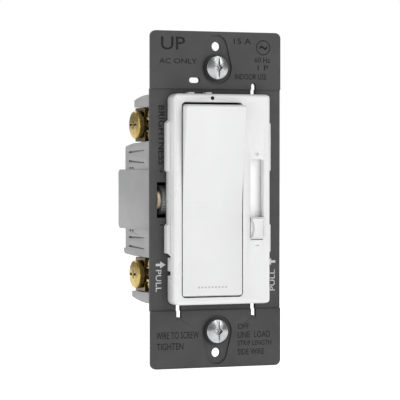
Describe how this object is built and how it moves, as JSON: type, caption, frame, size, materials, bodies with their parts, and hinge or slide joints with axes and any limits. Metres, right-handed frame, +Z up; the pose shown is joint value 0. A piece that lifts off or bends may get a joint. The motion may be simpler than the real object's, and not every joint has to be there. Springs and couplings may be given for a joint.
{
  "type": "dimmer switch",
  "caption": "Wall dimmer: rocker switch and slide control in a clip-on cover, on a metal mounting strap with a grey rear housing, wire clamps and dimming circuit inside.",
  "frame": {"origin": "midway between the two box screws, on the back plane of the strap's ends, where they meet the wall", "axes": "+X to the right seen from the front, +Y back into the wall along the box screws, +Z up along the strap"},
  "size_m": [0.0458, 0.039, 0.1062],
  "materials": {
    "strap_enamel": "dark grey baked enamel, satin",
    "housing_plastic": "mid grey moulded thermoplastic, fine matt texture",
    "cover_plastic": "white moulded polycarbonate, semi-gloss",
    "control_plastic": "white moulded polycarbonate, semi-gloss",
    "inner_plastic": "natural nylon, matt",
    "black_plastic": "black moulded plastic, matt",
    "insulator_paper": "black fibre sheet, matt",
    "board_laminate": "green glass-fibre laminate with solder mask",
    "terminal_brass": "bright brass, lightly tarnished",
    "contact_bronze": "phosphor bronze strip",
    "contact_silver": "silver alloy contact metal",
    "zinc_steel": "zinc plated steel, bright",
    "plated_steel": "plated steel strip",
    "black_screw": "black oxide steel",
    "green_screw": "green dyed plated steel",
    "copper_wire": "enamelled copper wire",
    "ferrite": "pressed iron powder",
    "capacitor_resin": "red epoxy coated box",
    "capacitor_yellow": "ochre epoxy coated box",
    "diode_glass": "blue coated glass",
    "resistor_coat": "tan lacquer with coloured rings",
    "track_laminate": "brown phenolic with a carbon track",
    "trimmer_plastic": "blue moulded plastic",
    "lamp_resin": "clear lamp resin",
    "lens_resin": "smoke grey clear resin",
    "wheel_plastic": "grey moulded plastic",
    "wheel_disc_metal": "bronze coloured plated disc"
  },
  "bodies": {
    "root": {"mounting_strap": "strap_enamel", "rear_housing": "housing_plastic", "insulator_sheet": "insulator_paper", "circuit_board": "board_laminate", "triac": "black_plastic", "triac_pad": "inner_plastic", "triac_rivet": "zinc_steel", "choke_core": "ferrite", "choke_winding": "copper_wire", "film_capacitor_large": "capacitor_resin", "film_capacitor_small": "capacitor_yellow", "diac": "diode_glass", "resistors": "resistor_coat", "slide_pot_shell": "plated_steel", "slide_pot_track": "track_laminate", "trim_pot_body": "trimmer_plastic", "switch_cradle": "inner_plastic", "common_bar": "terminal_brass", "traveler_bar_upper": "terminal_brass", "traveler_bar_lower": "terminal_brass", "fixed_contacts": "contact_silver", "locator_led": "lamp_resin", "ground_tab": "plated_steel", "housing_screws": "zinc_steel", "screw_washers": "black_plastic"},
    "cover": {"cover_frame": "cover_plastic", "slider_retainer": "inner_plastic", "locator_lens": "lens_resin"},
    "rocker": {"rocker_paddle": "control_plastic"},
    "slider": {"slider_knob": "control_plastic", "slot_shutter": "control_plastic"},
    "wiper": {"slide_pot_carriage": "black_plastic", "slide_pot_wiper": "contact_bronze"},
    "actuator": {"switch_actuator": "inner_plastic", "contact_spring": "zinc_steel", "contact_plunger": "inner_plastic"},
    "seesaw": {"seesaw_contact": "contact_bronze", "seesaw_tips": "contact_silver"},
    "trimmer": {"trim_wheel": "wheel_plastic", "trim_wheel_disc": "wheel_disc_metal", "trim_wheel_shaft": "zinc_steel"},
    "clamp_upper_left": {"clamp_plate_upper_left": "terminal_brass"},
    "clamp_lower_left": {"clamp_plate_lower_left": "terminal_brass"},
    "clamp_upper_right": {"clamp_plate_upper_right": "terminal_brass"},
    "clamp_ground": {"ground_washer": "zinc_steel"},
    "wire_screw_upper_left": {"terminal_screw_upper_left": "terminal_brass"},
    "wire_screw_lower_left": {"terminal_screw_lower_left": "terminal_brass"},
    "wire_screw_upper_right": {"terminal_screw_upper_right": "black_screw"},
    "wire_screw_ground": {"ground_screw": "green_screw"},
    "box_screw_top": {"mounting_screw_top": "zinc_steel"},
    "box_screw_bottom": {"mounting_screw_bottom": "zinc_steel"}
  },
  "joints": [
    {"name": "cover_pull", "type": "slide", "parent": "root", "child": "cover", "axis": [0, -1, 0], "range_m": [0, 0.012]},
    {"name": "rocker_tilt", "type": "hinge", "parent": "cover", "child": "rocker", "pos_m": [-0.00358, -0.0026, 0], "axis": [-1, 0, 0], "range_deg": [0, 6.5]},
    {"name": "slider_travel", "type": "slide", "parent": "cover", "child": "slider", "axis": [0, 0, 1], "range_m": [0, 0.018]},
    {"name": "wiper_travel", "type": "slide", "parent": "root", "child": "wiper", "axis": [0, 0, 1], "range_m": [0, 0.018]},
    {"name": "actuator_tilt", "type": "hinge", "parent": "root", "child": "actuator", "pos_m": [-0.00358, 0.0024, 0], "axis": [-1, 0, 0], "range_deg": [0, 6.5]},
    {"name": "seesaw_tilt", "type": "hinge", "parent": "root", "child": "seesaw", "pos_m": [-0.00358, 0.0146, 0], "axis": [1, 0, 0], "range_deg": [0, 10]},
    {"name": "trimmer_turn", "type": "hinge", "parent": "root", "child": "trimmer", "pos_m": [-0.0176, 0.0042, 0], "axis": [1, 0, 0], "range_deg": [-135, 135]},
    {"name": "clamp_upper_left_press", "type": "slide", "parent": "root", "child": "clamp_upper_left", "axis": [1, 0, 0], "range_m": [0, 0.002]},
    {"name": "wire_screw_upper_left_turn", "type": "hinge", "parent": "clamp_upper_left", "child": "wire_screw_upper_left", "pos_m": [-0.0204, 0.0126, 0.02375], "axis": [1, 0, 0], "range_deg": [0, 907]},
    {"name": "clamp_lower_left_press", "type": "slide", "parent": "root", "child": "clamp_lower_left", "axis": [1, 0, 0], "range_m": [0, 0.002]},
    {"name": "wire_screw_lower_left_turn", "type": "hinge", "parent": "clamp_lower_left", "child": "wire_screw_lower_left", "pos_m": [-0.0204, 0.0126, -0.02375], "axis": [1, 0, 0], "range_deg": [0, 907]},
    {"name": "clamp_upper_right_press", "type": "slide", "parent": "root", "child": "clamp_upper_right", "axis": [-1, 0, 0], "range_m": [0, 0.002]},
    {"name": "wire_screw_upper_right_turn", "type": "hinge", "parent": "clamp_upper_right", "child": "wire_screw_upper_right", "pos_m": [0.0204, 0.0126, 0.02375], "axis": [-1, 0, 0], "range_deg": [0, 907]},
    {"name": "clamp_ground_press", "type": "slide", "parent": "root", "child": "clamp_ground", "axis": [-1, 0, 0], "range_m": [0, 0.002]},
    {"name": "wire_screw_ground_turn", "type": "hinge", "parent": "clamp_ground", "child": "wire_screw_ground", "pos_m": [0.0204, 0.0126, -0.02375], "axis": [-1, 0, 0], "range_deg": [0, 907]},
    {"name": "box_screw_top_turn", "type": "hinge", "parent": "root", "child": "box_screw_top", "pos_m": [0, 0, 0.04167], "axis": [0, 1, 0], "continuous": true},
    {"name": "box_screw_bottom_turn", "type": "hinge", "parent": "root", "child": "box_screw_bottom", "pos_m": [0, 0, -0.04167], "axis": [0, 1, 0], "continuous": true}
  ],
  "couplings": [
    {"joint": "wiper_travel", "follows": "slider_travel", "ratio": 1},
    {"joint": "actuator_tilt", "follows": "rocker_tilt", "ratio": 1},
    {"joint": "seesaw_tilt", "follows": "rocker_tilt", "ratio": 1.538},
    {"joint": "wire_screw_upper_left_turn", "follows": "clamp_upper_left_press", "rad_per_m": 7913.3},
    {"joint": "wire_screw_lower_left_turn", "follows": "clamp_lower_left_press", "rad_per_m": 7913.3},
    {"joint": "wire_screw_upper_right_turn", "follows": "clamp_upper_right_press", "rad_per_m": 7913.3},
    {"joint": "wire_screw_ground_turn", "follows": "clamp_ground_press", "rad_per_m": 7913.3}
  ]
}
